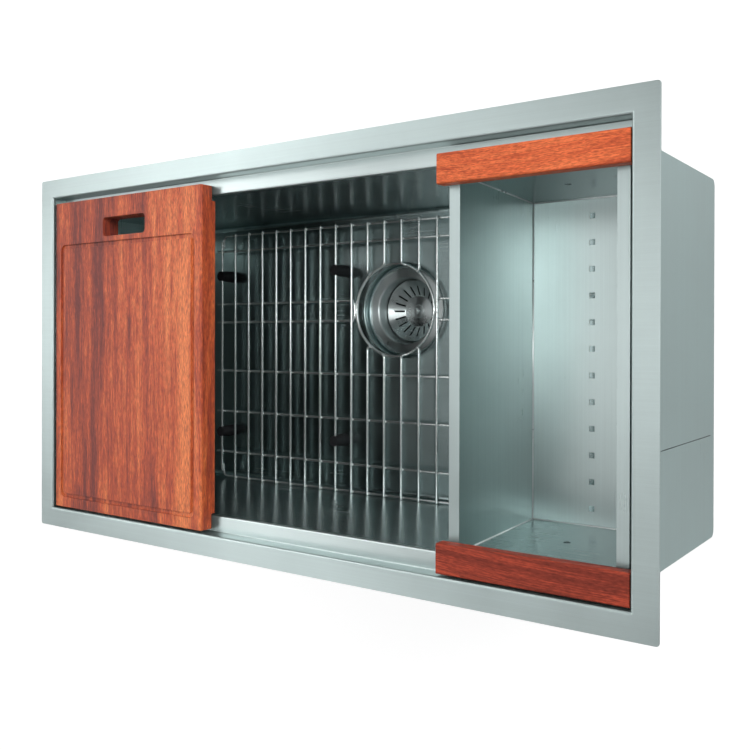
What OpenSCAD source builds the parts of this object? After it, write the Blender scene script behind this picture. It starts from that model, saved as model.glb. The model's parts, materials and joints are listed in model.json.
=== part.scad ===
// Workstation kitchen sink with a sliding cutting board, a sliding colander,
// a bottom grid and a basket strainer.
// Origin: centre of the bowl opening, in the top plane of the rim.
// +X right, +Y rear, +Z up.

/* [Rim] */
// Width of the bowl opening, left to right
opening_w = 789; // [700:1:900]
// Depth of the opening over the ledges, front to rear
opening_d = 414; // [380:1:460]
// Width of the flat rim round the opening
rim_w = 24.5; // [15:0.5:40]
// Radius of the rim's outer corners
rim_corner_r = 3; // [1:0.5:8]
// Thickness of the sink's sheet
sheet = 1.5; // [1:0.1:2]
// Outer radius of the sheet's bends
bend_r = 2.5; // [2.2:0.1:3.5]

/* [Ledges] */
// Height of the rim over the ledges
ledge_drop = 20; // [18:0.5:24]
// Width of each ledge
ledge_w = 19; // [17.5:0.5:24]
// Depth of the board's and the rails' top under the rim
wood_inset = 3; // [1:0.5:5]

/* [Bowl] */
// Depth of the bowl, rim to floor
bowl_depth = 254; // [230:1:280]
// Inner radius between the floor and the front and rear walls
floor_bend_r = 6; // [4:1:12]
// Distance of the seam on the side walls in front of the middle
seam_ahead = 81; // [40:1:120]
// Width of the seam line
seam_w = 0.8; // [0.5:0.1:1.5]
// Depth of the seam line
seam_depth = 0.4; // [0.2:0.1:0.6]
// Length of wall left plain above and below the seam
seam_margin = 12; // [6:1:20]

/* [Drain] */
// Place of the drain behind the middle
drain_y = 57.5; // [20:0.5:80]
// Gap between the strainer cup and the hole in the floor
drain_play = 1; // [0.5:0.1:2]
// Width of the flat seat round the drain hole
seat_w = 12; // [10:0.5:14]
// Angle of the recess's side to the floor
recess_angle = 80; // [60:1:85]
// Radius of the bends over and under the recess's side
recess_bend_r = 2.5; // [2.2:0.1:3.5]
// Depth of the recess
recess_depth = 10; // [8:0.5:12]

/* [Strainer] */
// Gap between the strainer's flange and the recess
flange_gap = 0.5; // [0.3:0.1:0.8]
// Height of the bead along the flange's edge
bead_h = 0.7; // [0.3:0.1:1.2]
// Rounding of the cup's mouth
mouth_r = 2.5; // [1.5:0.5:4]
// Wall of the strainer cup
cup_wall = 1.6; // [1.2:0.1:2]
// Inner radius of the strainer cup
cup_r = 43.4; // [40:0.1:48]
// Depth of the cup's straight wall under the floor
cup_depth = 42; // [38:0.5:46]
// Height of the cup's tapered bottom
cup_taper_h = 14; // [12:0.5:18]
// Bore radius of the outlet
outlet_r = 20.5; // [19:0.5:24]
// Wall of the outlet's thread
thread_wall = 3.5; // [2.5:0.1:4.5]
// Length of the outlet under the cup
outlet_h = 24; // [22:1:30]
// Thickness of the rubber gasket
gasket_t = 3; // [2:0.5:4]
// Thickness of the friction washer
washer_t = 1; // [0.5:0.5:2]
// Height of the locknut
locknut_h = 12; // [9:0.5:14]
// Width of the locknut's ring
locknut_w = 7; // [5.5:0.5:10]
// Number of lugs on the locknut
locknut_lugs = 6; // [4:1:8]

/* [Tailpiece] */
// Outer radius of the tailpiece
tail_r = 19.05; // [16:0.05:20]
// Drop of the tube's radius inside the coupling nut
tail_neck_in = 0.6; // [0.4:0.1:0.7]
// Wall of the tailpiece
tail_wall = 1.2; // [0.8:0.1:1.6]
// Length of the tailpiece under its flange
tail_len = 54; // [40:1:100]
// Thickness of the tailpiece's flange
tail_flange_t = 2; // [1.5:0.1:2.5]
// Thickness of the washer over the flange
tail_washer_t = 2; // [1.5:0.1:3]
// Gap between the tailpiece's flange and the coupling nut
tail_flange_gap = 1; // [0.5:0.1:1.5]
// Length of thread that the coupling nut covers
nut_grip = 12; // [8:0.5:16]
// Thickness of the coupling nut's lip
nut_lip_t = 2.5; // [2:0.1:3.5]
// Wall of the coupling nut over its corners
nut_wall = 8; // [6:0.5:12]

/* [Basket] */
// Gap between the basket's rim and the cup
basket_play = 1.3; // [0.5:0.1:2]
// Depth of the basket's rim under the floor
basket_drop = 26.5; // [24:0.5:28]
// Depth of the basket's dish
dish_depth = 13.5; // [11:0.5:14]
// Radius of the dish's flat bottom
dish_r = 21; // [19:0.5:24]
// Width of the basket's flat rim
basket_rim_w = 1.6; // [1.2:0.1:3]
// Thickness of the basket's sheet
basket_t = 0.8; // [0.6:0.1:1]
// Number of slots in the basket
slot_count = 19; // [12:1:22]
// Length of a basket slot
slot_l = 12; // [8:0.5:13]
// Width of a basket slot
slot_w = 2.2; // [1.2:0.1:2.6]
// Distance of the slots from the basket's edge
slot_margin = 8; // [5:0.5:9]
// Radius of the raised hub
hub_r = 8; // [6:0.5:12]
// Height of the hub over the dish's flat
hub_h = 1; // [0.8:0.1:2]
// Radius of the basket's post
post_r = 3; // [2:0.1:3.5]
// Radius of the knob
knob_r = 4.2; // [4:0.1:6]
// Height of the knob over the hub
knob_h = 8; // [6:0.5:12]
// Height of the knob's head
knob_head_h = 3.5; // [3:0.5:5]
// Reach of the rubber stopper past the outlet's bore
stopper_over = 8.5; // [5:0.5:10]
// Thickness of the rubber stopper
stopper_t = 4; // [3:0.5:6]
// Bevel on the stopper's edges
stopper_bevel = 1; // [0.5:0.1:1.5]

/* [Grid] */
// Diameter of the grid's wire
wire_d = 3.5; // [3:0.1:4]
// Height of the grid over the floor
grid_h = 25; // [22:0.5:30]
// Number of long wires, frame sides included
wire_count = 24; // [20:2:28]
// Number of the wire from each side that is bent into feet
leg_index = 8; // [6:1:9]
// Distance of the grid's sides from the side walls
grid_side_gap = 86.3; // [60:0.1:110]
// Distance of the front rod from the front wall
grid_front_gap = 2.5; // [2.5:0.5:20]
// Distance of the rear rod from the rear wall
grid_rear_gap = 15.5; // [3:0.5:25]
// Radius of the frame's corners
grid_corner_r = 8; // [5:0.5:10]
// Length of the lap between the end rods and the sides
lap_l = 10; // [6:0.5:12]
// Distance from the rear rod to the rear cross wire
cross_rear_in = 23; // [22:0.5:30]
// Distance from the drain forward to the middle cross wire
cross_middle_ahead = 85.5; // [70:0.5:110]
// Distance from the front rod to the second cross wire
cross_second_in = 97; // [80:0.5:110]
// Distance from the front rod to the first cross wire
cross_first_in = 36.5; // [24:0.5:45]
// Distance between the two arms of a hairpin
hairpin_gap = 27; // [22:0.5:32]
// Radius of a hairpin's bends
hairpin_bend_r = 6; // [4:0.5:9]
// Length of the cross wires past the frame
cross_tail = 12; // [6:1:18]
// Radius of the drain ring, on the wire's axis
ring_r = 60.5; // [54:0.5:66]
// Radius of the bends where long wires end on the ring
end_bend_r = 5; // [4:0.5:7]
// Angle of the inward bends on the ring
end_bend_angle = 70; // [40:1:80]
// Distance from the rear rod to the rear feet
foot_rear_in = 59.5; // [52:0.5:66]
// Distance from the front rod to the front feet
foot_front_in = 66.5; // [60:0.5:76]
// Radius of a rubber foot at its base
foot_base_r = 8.5; // [8:0.5:10]
// Radius of a rubber foot at its top
foot_top_r = 7; // [6.5:0.5:8]
// Height of the feet over the grid's top
foot_over = 2; // [1:0.5:5]
// Distance between the two bends of the wire in a foot
leg_span = 7; // [5:0.5:8]
// Rubber under the wire in a foot
foot_sole = 8; // [4:0.5:12]

/* [Cutting board] */
// Width of the board, left to right
board_w = 278; // [220:1:320]
// Play of the board between the sides of the opening
board_play = 10; // [8:0.5:14]
// Play of the board's body between the ledges
body_play = 7; // [6:0.5:12]
// Thickness of the board
board_t = 24; // [21:0.5:28]
// Forward set of the board from the middle
board_shift = 2.5; // [0:0.5:2.5]
// Gap between the board and the left wall
board_side_gap = 1.5; // [0.5:0.5:10]
// Radius of the board's long edges
board_edge_r = 3; // [1:0.5:5]
// Width of the finger slot
finger_w = 80; // [70:1:100]
// Depth of the finger slot, front to rear
finger_d = 24; // [20:1:28]
// Corner radius of the finger slot
finger_r = 5; // [3:0.5:10]
// Wood behind the finger slot
finger_margin = 25.5; // [20:0.5:27]
// Width of the juice groove
groove_w = 5.5; // [4:0.5:8]
// Depth of the juice groove
groove_depth = 2.5; // [1.5:0.5:4]
// Outer corner radius of the juice groove
groove_r = 8; // [6:0.5:12]
// Wood outside the groove at the sides
groove_side = 12; // [9:0.5:20]
// Wood outside the groove at the front
groove_front = 13; // [9:0.5:20]
// Wood outside the groove at the rear
groove_rear = 56; // [54:0.5:70]

/* [Colander] */
// Length of the wooden rails
rail_l = 189; // [160:0.5:220]
// Width of the wooden rails
rail_w = 29.5; // [27:0.5:32]
// Radius of the rails' long edges
rail_edge_r = 2; // [1:0.5:4]
// Play of the rails between the sides of the opening
rails_play = 11.5; // [9:0.5:14]
// Play of the basin between the ledges
basin_play = 13; // [12:0.5:18]
// Forward set of the colander from the middle
colander_shift = 4; // [2.5:0.5:4]
// Gap between the rails and the right wall
colander_side_gap = 1.5; // [0.5:0.5:10]
// Length of the rails past the flange
rail_over = 5.5; // [2:0.5:10]
// Width of the basin's side flanges
side_flange = 11.5; // [9:0.5:16]
// Depth of the basin
basin_depth = 140; // [110:1:150]
// Inward lean of each basin wall over its height
basin_draft = 11; // [6:0.5:14]
// Thickness of the colander's sheet
basin_t = 1.2; // [0.8:0.1:1.5]
// Number of holes in the base
hole_count = 12; // [6:1:14]
// Size of the square holes
hole_size = 6; // [4:0.5:9]
// Distance from the base's ends to the outer holes
hole_margin = 18.2; // [12:0.1:30]
// Radius of the hole in each end plate
end_hole_r = 3.5; // [2.5:0.5:5]
// Height of the end holes over the base
end_hole_h = 63.5; // [30:0.5:100]
// Distance of the screws from the rails' ends
screw_end = 34.5; // [20:0.5:50]
// Distance of the screws from the end wall
screw_margin = 9; // [6:0.5:12]
// Radius of a screw's shank
screw_r = 1.5; // [1.2:0.1:2]
// Radius of a screw's countersunk head
screw_head_r = 3; // [2.6:0.1:3.6]
// Height of a screw's countersunk head
screw_head_h = 1.8; // [1.5:0.1:2.4]
// Length of a screw
screw_l = 12; // [8:0.5:13]

/* [Fits] */
// Gap between pieces that lift or slide apart
rest_gap = 0.3; // [0.2:0.05:0.5]
// Gap between a threaded piece and its nut
thread_gap = 0.1; // [0.05:0.05:0.2]
// Gap between a post or shank and its hole
hole_gap = 0.1; // [0.05:0.05:0.2]

/* [Hidden] */

steel = [0.66, 0.70, 0.69];
bright_steel = [0.80, 0.82, 0.82];
rubber = [0.06, 0.06, 0.07];
fibre = [0.55, 0.42, 0.30];
brass = [0.72, 0.60, 0.32];
sapele = [0.70, 0.33, 0.18];
rail_wood = [0.78, 0.36, 0.20];

arc_steps = 6;
round_steps = 96;
wire_steps = 24;
overcut = 1;

open_x = opening_w / 2;
open_y = opening_d / 2;
bowl_y = open_y - ledge_w;
inner_bend_r = bend_r - sheet;
rim_skirt = bend_r + 2;
ledge_skirt = ledge_drop + bend_r + 2;
floor_z = -bowl_depth;
wall_bottom_z = floor_z + floor_bend_r;
floor_outer_r = floor_bend_r + sheet;

// Radii of the drain, from the strainer cup outwards
barrel_r = cup_r + cup_wall;
drain_hole_r = barrel_r + drain_play;
recess_seat_r = drain_hole_r + seat_w;
recess_run = (recess_depth - 2 * recess_bend_r * (1 - cos(recess_angle))) / tan(recess_angle);
recess_top_r = recess_seat_r + 2 * recess_bend_r * sin(recess_angle) + recess_run;
ring_bore_r = drain_hole_r + rest_gap;
locknut_r = barrel_r + locknut_w;
outlet_thread_r = outlet_r + thread_wall;
tail_flange_r = outlet_thread_r - tail_flange_gap;
nut_corner_r = outlet_thread_r + nut_wall;
basket_r = cup_r - basket_play;
slot_r1 = basket_r - slot_margin;
stopper_r = outlet_r + stopper_over;

// Heights of the strainer's pieces, all under the floor
seat_z = floor_z - recess_depth;
cup_bottom_z = floor_z - cup_depth;
outlet_top_z = cup_bottom_z - cup_taper_h;
outlet_end_z = outlet_top_z - outlet_h;
gasket_top_z = seat_z - sheet;
washer_top_z = gasket_top_z - gasket_t;
locknut_top_z = washer_top_z - washer_t;
tail_flange_top_z = outlet_end_z - tail_washer_t;
tail_flange_bottom_z = tail_flange_top_z - tail_flange_t;
tail_end_z = tail_flange_bottom_z - tail_len;
nut_bottom_z = tail_flange_bottom_z - nut_lip_t;

// Heights of the basket; the stopper rests just over the cup's slope
basket_rim_z = floor_z - basket_drop;
dish_z = basket_rim_z - dish_depth;
hub_z = dish_z + hub_h;
cup_slope = cup_taper_h / (cup_r - outlet_r - cup_wall);
stopper_gap = rest_gap * 1.3;
stopper_bottom_z = cup_bottom_z - (cup_r - stopper_r + stopper_bevel) * cup_slope + stopper_gap;
stopper_top_z = stopper_bottom_z + stopper_t;
basket_nut_h = 3;
basket_nut_r = 5;

// Heights and places of the grid
wire_r = wire_d / 2;
long_z = floor_z + grid_h - wire_r;
cross_z = long_z - wire_d;
grid_side_x = open_x - grid_side_gap;
wire_pitch = 2 * grid_side_x / (wire_count - 1);
leg_x = grid_side_x - leg_index * wire_pitch;
grid_front_y = -bowl_y + grid_front_gap;
grid_rear_y = bowl_y - grid_rear_gap;
cross_ys = [
    grid_rear_y - cross_rear_in,
    drain_y - cross_middle_ahead,
    grid_front_y + cross_second_in,
    grid_front_y + cross_first_in
];
hairpin_x = ring_r + wire_d;
foot_rear_y = grid_rear_y - foot_rear_in;
foot_front_y = grid_front_y + foot_front_in;
foot_ys = [foot_front_y, foot_rear_y];
foot_h = grid_h + foot_over;
foot_base_z = floor_z + rest_gap;
leg_bottom_z = foot_base_z + foot_sole + wire_r;

// The accessories lie on the ledges
ledge_z = -ledge_drop;
board_l = opening_d - board_play;
rabbet_l = (board_l - 2 * bowl_y + body_play) / 2;
tongue_t = ledge_drop - wood_inset - rest_gap;
board_x = -open_x + board_side_gap + board_w / 2;
board_y = -board_shift;
board_bottom_z = -wood_inset - board_t;

rails_l = opening_d - rails_play;
basin_l = 2 * bowl_y - basin_play;
basin_w = rail_l - 2 * (rail_over + side_flange);
colander_x = open_x - colander_side_gap - rail_l / 2;
colander_y = -colander_shift;
flange_bottom_z = ledge_z + rest_gap;
basin_top_z = flange_bottom_z + basin_t;
basin_floor_z = basin_top_z - basin_depth;
rail_t = -wood_inset - basin_top_z;
rail_y = (rails_l - rail_w) / 2;
hole_pitch = (basin_l - 2 * (basin_draft + hole_margin)) / (hole_count - 1);
end_hole_z = basin_floor_z + end_hole_h;
screw_x = rail_l / 2 - screw_end;
screw_y = basin_l / 2 + screw_margin;

// Points of an arc in the drawing plane
function arc(cx, cy, r, a0, a1) =
    [for (i = [0 : arc_steps])
        let (a = a0 + (a1 - a0) * i / arc_steps)
        [cx + r * cos(a), cy + r * sin(a)]];

// The same points, mirrored to the other side and in reverse order
function mirrored(points) =
    [for (i = [len(points) - 1 : -1 : 0]) [-points[i][0], points[i][1]]];

// Rectangle with rounded corners, centred
module rounded_rect(w, d, r) {
    square([w - 2 * r, d], center = true);
    square([w, d - 2 * r], center = true);
    for (sx = [-1, 1], sy = [-1, 1])
        translate([sx * (w / 2 - r), sy * (d / 2 - r)])
            circle(r = r, $fn = 32);
}

// A section drawn in Y and Z, run along X
module along_x(length) {
    rotate([90, 0, 90])
        linear_extrude(height = length, center = true)
            children();
}

// A section drawn in X and Z, run along Y
module along_y(length) {
    rotate([90, 0, 0])
        linear_extrude(height = length, center = true)
            children();
}

// Ring or disc between two heights
module ring(outer_r, inner_r, z0, z1, steps = round_steps) {
    translate([0, drain_y, z0])
        difference() {
            cylinder(r = outer_r, h = z1 - z0, $fn = steps);
            translate([0, 0, -overcut])
                cylinder(r = inner_r, h = z1 - z0 + 2 * overcut, $fn = round_steps);
        }
}

// Section of revolution about the drain's axis
module turned(points) {
    translate([0, drain_y, 0])
        rotate_extrude($fn = round_steps)
            polygon(points);
}

// Straight wires along X, along Y and upright
module wire_x(x0, x1, y, z) {
    translate([x0, y, z])
        rotate([0, 90, 0])
            cylinder(r = wire_r, h = x1 - x0, $fn = wire_steps);
}

module wire_y(x, y0, y1, z) {
    translate([x, y1, z])
        rotate([90, 0, 0])
            cylinder(r = wire_r, h = y1 - y0, $fn = wire_steps);
}

module wire_z(x, y, z0, z1) {
    translate([x, y, z0])
        cylinder(r = wire_r, h = z1 - z0, $fn = wire_steps);
}

// Round joint where a wire bends
module wire_bend(p) {
    translate(p)
        sphere(r = wire_r, $fn = wire_steps);
}

// ---- Sink ----

// Section of the rolled inner edge and the start of the flat rim;
// the first value is the distance out from the opening
rim_lap = bend_r + sheet;
rolled_edge = concat(
    [[0, -rim_skirt]],
    arc(bend_r, -bend_r, bend_r, 180, 90),
    [[rim_lap, 0], [rim_lap, -sheet]],
    arc(bend_r, -bend_r, inner_bend_r, 90, 180),
    [[sheet, -rim_skirt]]
);

// One side of the rolled edge along X, with mitred ends
module rolled_side(half_length, half_depth) {
    intersection() {
        translate([0, half_depth, 0])
            along_x(2 * (half_length + rim_lap))
                polygon(rolled_edge);
        translate([0, 0, -rim_skirt])
            linear_extrude(height = rim_skirt)
                polygon([
                    [-half_length, half_depth],
                    [half_length, half_depth],
                    [half_length + rim_lap, half_depth + rim_lap],
                    [-half_length - rim_lap, half_depth + rim_lap]
                ]);
    }
}

module rim_flange() {
    color(steel) {
        translate([0, 0, -sheet])
            linear_extrude(height = sheet)
                difference() {
                    rounded_rect(opening_w + 2 * rim_w, opening_d + 2 * rim_w, rim_corner_r);
                    square([opening_w + 2 * bend_r, opening_d + 2 * bend_r], center = true);
                }
        for (turn = [0, 180])
            rotate([0, 0, turn])
                rolled_side(open_x, open_y);
        for (turn = [90, 270])
            rotate([0, 0, turn])
                rolled_side(open_y, open_x);
    }
}

// Upper face of a ledge, from the step wall to the bowl wall
ledge_face = concat(
    arc(open_y - inner_bend_r, ledge_z + inner_bend_r, inner_bend_r, 0, -90),
    arc(bowl_y + bend_r, ledge_z - bend_r, bend_r, 90, 180),
    [[bowl_y, -ledge_skirt]]
);

// Lower face of a ledge, back from the bowl wall to the step wall
ledge_back = concat(
    [[bowl_y + sheet, -ledge_skirt]],
    arc(bowl_y + bend_r, ledge_z - bend_r, inner_bend_r, 180, 90),
    arc(open_y - inner_bend_r, ledge_z + inner_bend_r, bend_r, -90, 0)
);

module rear_step() {
    step_bottom_z = ledge_z + inner_bend_r;
    color(steel)
        translate([-open_x, open_y, step_bottom_z])
            cube([opening_w, sheet, -rim_skirt - step_bottom_z]);
}

module front_step() {
    mirror([0, 1, 0])
        rear_step();
}

module rear_ledge() {
    color(steel)
        along_x(opening_w)
            polygon(concat(ledge_face, ledge_back));
}

module front_ledge() {
    mirror([0, 1, 0])
        rear_ledge();
}

module rear_wall() {
    color(steel)
        translate([-open_x, bowl_y, wall_bottom_z])
            cube([opening_w, sheet, -ledge_skirt - wall_bottom_z]);
}

module front_wall() {
    mirror([0, 1, 0])
        rear_wall();
}

// Rear half of a side wall's outline, which follows the bends of the sheets that meet it
side_half = concat(
    [[open_y + sheet, -rim_skirt]],
    arc(open_y - inner_bend_r, ledge_z + inner_bend_r, bend_r, 0, -90),
    arc(bowl_y + bend_r, ledge_z - bend_r, inner_bend_r, 90, 180),
    arc(bowl_y - floor_bend_r, wall_bottom_z, floor_outer_r, 0, -90)
);

module right_wall() {
    seam_top_z = -ledge_skirt - seam_margin;
    seam_bottom_z = floor_z + seam_margin;
    color(steel)
        difference() {
            translate([open_x + sheet / 2, 0, 0])
                along_x(sheet)
                    polygon(concat(side_half, mirrored(side_half)));
            translate([open_x + sheet - seam_depth, -seam_ahead - seam_w / 2, seam_bottom_z])
                cube([seam_depth + overcut, seam_w, seam_top_z - seam_bottom_z]);
        }
}

module left_wall() {
    mirror([1, 0, 0])
        right_wall();
}

// Inner and outer faces of the floor's rear bend
floor_inner = arc(bowl_y - floor_bend_r, wall_bottom_z, floor_bend_r, 0, -90);
floor_outer = arc(bowl_y - floor_bend_r, wall_bottom_z, floor_outer_r, -90, 0);

// Section of the stamped recess round the drain hole
recess_side = 90 + recess_angle;
recess_section = concat(
    arc(recess_top_r, floor_z - recess_bend_r, recess_bend_r, 90, recess_side),
    arc(recess_seat_r, seat_z + recess_bend_r, recess_bend_r, recess_side - 180, -90),
    [[drain_hole_r, seat_z], [drain_hole_r, seat_z - sheet]],
    arc(recess_seat_r, seat_z + recess_bend_r, recess_bend_r + sheet, -90, recess_side - 180),
    arc(recess_top_r, floor_z - recess_bend_r, recess_bend_r - sheet, recess_side, 90),
    [[recess_top_r + sheet, floor_z - sheet], [recess_top_r + sheet, floor_z]]
);

module bowl_floor() {
    color(steel)
        difference() {
            along_x(opening_w)
                polygon(concat(floor_inner, mirrored(floor_inner), mirrored(floor_outer), floor_outer));
            translate([0, drain_y, floor_z - sheet - overcut])
                cylinder(r = recess_top_r + sheet, h = sheet + 2 * overcut, $fn = round_steps);
        }
}

// Stamped step in the floor that takes the strainer's flange
module drain_recess() {
    color(steel)
        turned(recess_section);
}

// ---- Strainer ----

module strainer_body() {
    flange_r = recess_seat_r - flange_gap;
    flange_top_z = seat_z + cup_wall;
    color(bright_steel)
        turned(concat([
            [flange_r, seat_z],
            [flange_r, flange_top_z],
            [flange_r - bead_h, flange_top_z + bead_h],
            [flange_r - 2 * bead_h, flange_top_z + bead_h],
            [flange_r - 3 * bead_h, flange_top_z]
        ], arc(cup_r + mouth_r, flange_top_z - mouth_r, mouth_r, 90, 180), [
            [cup_r, cup_bottom_z],
            [outlet_r + cup_wall, outlet_top_z],
            [outlet_r, outlet_top_z - cup_wall],
            [outlet_r, outlet_end_z],
            [outlet_thread_r, outlet_end_z],
            [outlet_thread_r, outlet_top_z - cup_wall],
            [barrel_r, cup_bottom_z - cup_wall],
            [barrel_r, seat_z]
        ]));
}

module strainer_gasket() {
    color(rubber)
        ring(recess_seat_r, ring_bore_r, washer_top_z, gasket_top_z);
}

module friction_washer() {
    color(fibre)
        ring(recess_seat_r, ring_bore_r, locknut_top_z, washer_top_z);
}

module strainer_locknut() {
    lug_w = 9;
    lug_out = 3;
    lug_h = locknut_h * 0.7;
    bottom_z = locknut_top_z - locknut_h;
    color(brass)
        union() {
            ring(locknut_r, barrel_r + thread_gap, bottom_z, locknut_top_z);
            for (i = [0 : locknut_lugs - 1])
                translate([0, drain_y, bottom_z])
                    rotate([0, 0, 360 / locknut_lugs * i])
                        translate([locknut_r - lug_out, -lug_w / 2, 0])
                            cube([2 * lug_out, lug_w, lug_h]);
        }
}

module tailpiece_washer() {
    color("white")
        ring(tail_flange_r, outlet_r, tail_flange_top_z, outlet_end_z);
}

module tailpiece() {
    tail_bore_r = tail_r - tail_wall;
    neck_bottom_z = nut_bottom_z - tail_wall;
    color(bright_steel) {
        ring(tail_flange_r, tail_bore_r, tail_flange_bottom_z, tail_flange_top_z);
        ring(tail_r - tail_neck_in, tail_bore_r, neck_bottom_z, tail_flange_top_z);
        ring(tail_r, tail_bore_r, tail_end_z, neck_bottom_z);
    }
}

module coupling_nut() {
    top_z = outlet_end_z + nut_grip;
    color(brass)
        difference() {
            translate([0, drain_y, nut_bottom_z])
                cylinder(r = nut_corner_r, h = top_z - nut_bottom_z, $fn = 8);
            translate([0, drain_y, tail_flange_bottom_z])
                cylinder(r = outlet_thread_r + thread_gap, h = top_z - nut_bottom_z, $fn = round_steps);
            translate([0, drain_y, nut_bottom_z - overcut])
                cylinder(r = tail_r + hole_gap, h = nut_lip_t + 2 * overcut, $fn = round_steps);
        }
}

// ---- Basket ----

module basket_plate() {
    lip_r = basket_r - basket_rim_w;
    lip_z = basket_rim_z - basket_rim_w;
    color(bright_steel)
        difference() {
            turned([
                [basket_r, basket_rim_z],
                [lip_r, basket_rim_z],
                [dish_r, dish_z],
                [hub_r + hub_h, dish_z],
                [hub_r, hub_z],
                [post_r + hole_gap, hub_z],
                [post_r + hole_gap, hub_z - basket_t],
                [hub_r, hub_z - basket_t],
                [hub_r + hub_h, dish_z - basket_t],
                [dish_r + basket_t / 2, dish_z - basket_t],
                [lip_r, lip_z],
                [basket_r, lip_z]
            ]);
            for (i = [0 : slot_count - 1])
                translate([0, drain_y, 0])
                    rotate([0, 0, 180 + 360 / slot_count * i])
                        translate([slot_r1 - slot_l, -slot_w / 2, dish_z - basket_t - overcut])
                            cube([slot_l, slot_w, dish_depth + 2 * overcut]);
        }
}

module basket_post() {
    post_top_z = hub_z;
    post_bottom_z = stopper_bottom_z - basket_nut_h;
    color(bright_steel)
        translate([0, drain_y, post_bottom_z])
            cylinder(r = post_r, h = post_top_z - post_bottom_z, $fn = 32);
}

module basket_knob() {
    neck_top_z = hub_z + knob_h - knob_head_h;
    neck_r = knob_r * 0.6;
    crown_h = 1.5;
    color(bright_steel)
        turned(concat(
            [[0, hub_z], [neck_r, hub_z], [neck_r, neck_top_z], [knob_r, neck_top_z]],
            arc(knob_r - crown_h, hub_z + knob_h - crown_h, crown_h, 0, 90),
            [[0, hub_z + knob_h]]
        ));
}

module basket_stopper() {
    color(rubber)
        turned([
            [post_r + hole_gap, stopper_bottom_z],
            [stopper_r - stopper_bevel, stopper_bottom_z],
            [stopper_r, stopper_bottom_z + stopper_bevel],
            [stopper_r - stopper_bevel, stopper_top_z],
            [post_r + hole_gap, stopper_top_z]
        ]);
}

module basket_nut() {
    color(bright_steel)
        translate([0, drain_y, stopper_bottom_z - basket_nut_h])
            difference() {
                cylinder(r = basket_nut_r, h = basket_nut_h, $fn = 6);
                translate([0, 0, -overcut])
                    cylinder(r = post_r + hole_gap, h = basket_nut_h + 2 * overcut, $fn = 32);
            }
}

// ---- Bottom grid ----

// Bent-down leg of a wire that runs along Y, centred on its foot
module wire_leg() {
    half = leg_span / 2;
    for (y = [-half, half]) {
        wire_z(0, y, leg_bottom_z, long_z);
        wire_bend([0, y, long_z]);
        wire_bend([0, y, leg_bottom_z]);
    }
    wire_y(0, -half, half, leg_bottom_z);
}

// Wire along Y from front to rear, bent down into both feet
module legged_wire(front_y, rear_y) {
    half = leg_span / 2;
    wire_y(0, front_y, foot_front_y - half, long_z);
    wire_y(0, foot_front_y + half, foot_rear_y - half, long_z);
    wire_y(0, foot_rear_y + half, rear_y, long_z);
    for (y = foot_ys)
        translate([0, y, 0])
            wire_leg();
}

// Bend about an upright axis, from one angle on through a sweep
module wire_turn(x, y, z, bend, angle, sweep = 90) {
    translate([x, y, z])
        rotate([0, 0, angle])
            rotate_extrude(angle = sweep, $fn = 48)
                translate([bend, 0])
                    circle(r = wire_r, $fn = wire_steps);
}

// End rods of the frame: each turns two corners and ends in a short lap under the sides
module grid_end_rods() {
    corner_x = grid_side_x - grid_corner_r;
    color(bright_steel) {
        for (y = [grid_front_y, grid_rear_y])
            wire_x(-corner_x, corner_x, y, cross_z);
        for (c = [[1, 1, 0], [-1, 1, 90], [-1, -1, 180], [1, -1, 270]]) {
            corner_y = c[1] > 0 ? grid_rear_y - grid_corner_r : grid_front_y + grid_corner_r;
            lap_y = c[1] > 0 ? corner_y - lap_l : corner_y;
            wire_turn(c[0] * corner_x, corner_y, cross_z, grid_corner_r, c[2]);
            wire_y(c[0] * grid_side_x, lap_y, lap_y + lap_l, cross_z);
        }
    }
}

// Sides of the frame, which lie over the cross wires and dip into their feet
module grid_side_wires() {
    color(bright_steel)
        for (x = [-grid_side_x, grid_side_x])
            translate([x, 0, 0])
                legged_wire(grid_front_y + grid_corner_r, grid_rear_y - grid_corner_r);
}

// Long wire from the front or the rear that turns to a side and stops on the ring;
// the reach is how far from the drain's middle its bend starts
module wire_to_ring(x, far_y, reach, to_side, sweep) {
    to_rear = sign(far_y - drain_y);
    bend_y = drain_y + to_rear * round(reach * 100) / 100;
    from_angle = to_side > 0 ? 180 : 0;
    wire_y(x, min(far_y, bend_y), max(far_y, bend_y), long_z);
    wire_turn(x + to_side * end_bend_r, bend_y, long_z, end_bend_r, from_angle, to_side * to_rear * sweep);
}

// Wire near the middle: it turns outwards, in line with the ring under it
module wire_along_ring(x, far_y) {
    sweep = acos((abs(x) + end_bend_r) / (ring_r + end_bend_r));
    wire_to_ring(x, far_y, (ring_r + end_bend_r) * sin(sweep), sign(x), sweep);
}

// Wire further out: it turns inwards, across the ring
module wire_across_ring(x, far_y) {
    end_x = abs(x) - end_bend_r * (1 - cos(end_bend_angle));
    reach = sqrt(pow(ring_r, 2) - pow(end_x, 2)) + end_bend_r * sin(end_bend_angle);
    wire_to_ring(x, far_y, reach, -sign(x), end_bend_angle);
}

// Long wires between the frame's sides; those over the drain end on the ring
module grid_wires() {
    color(bright_steel)
        for (i = [1 : wire_count - 2]) {
            x = -grid_side_x + i * wire_pitch;
            front = grid_front_y - wire_r;
            rear = grid_rear_y + wire_r;
            if (abs(x) < ring_r / 3) {
                for (far_y = [front, rear])
                    wire_along_ring(x, far_y);
            } else if (abs(x) < ring_r) {
                for (far_y = [front, rear])
                    wire_across_ring(x, far_y);
            } else if (i != leg_index && i != wire_count - 1 - leg_index) {
                wire_y(x, front, rear, long_z);
            }
        }
}

module grid_leg_wires() {
    color(bright_steel)
        for (x = [-leg_x, leg_x])
            translate([x, 0, 0])
                legged_wire(grid_front_y - wire_r, grid_rear_y + wire_r);
}

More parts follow.
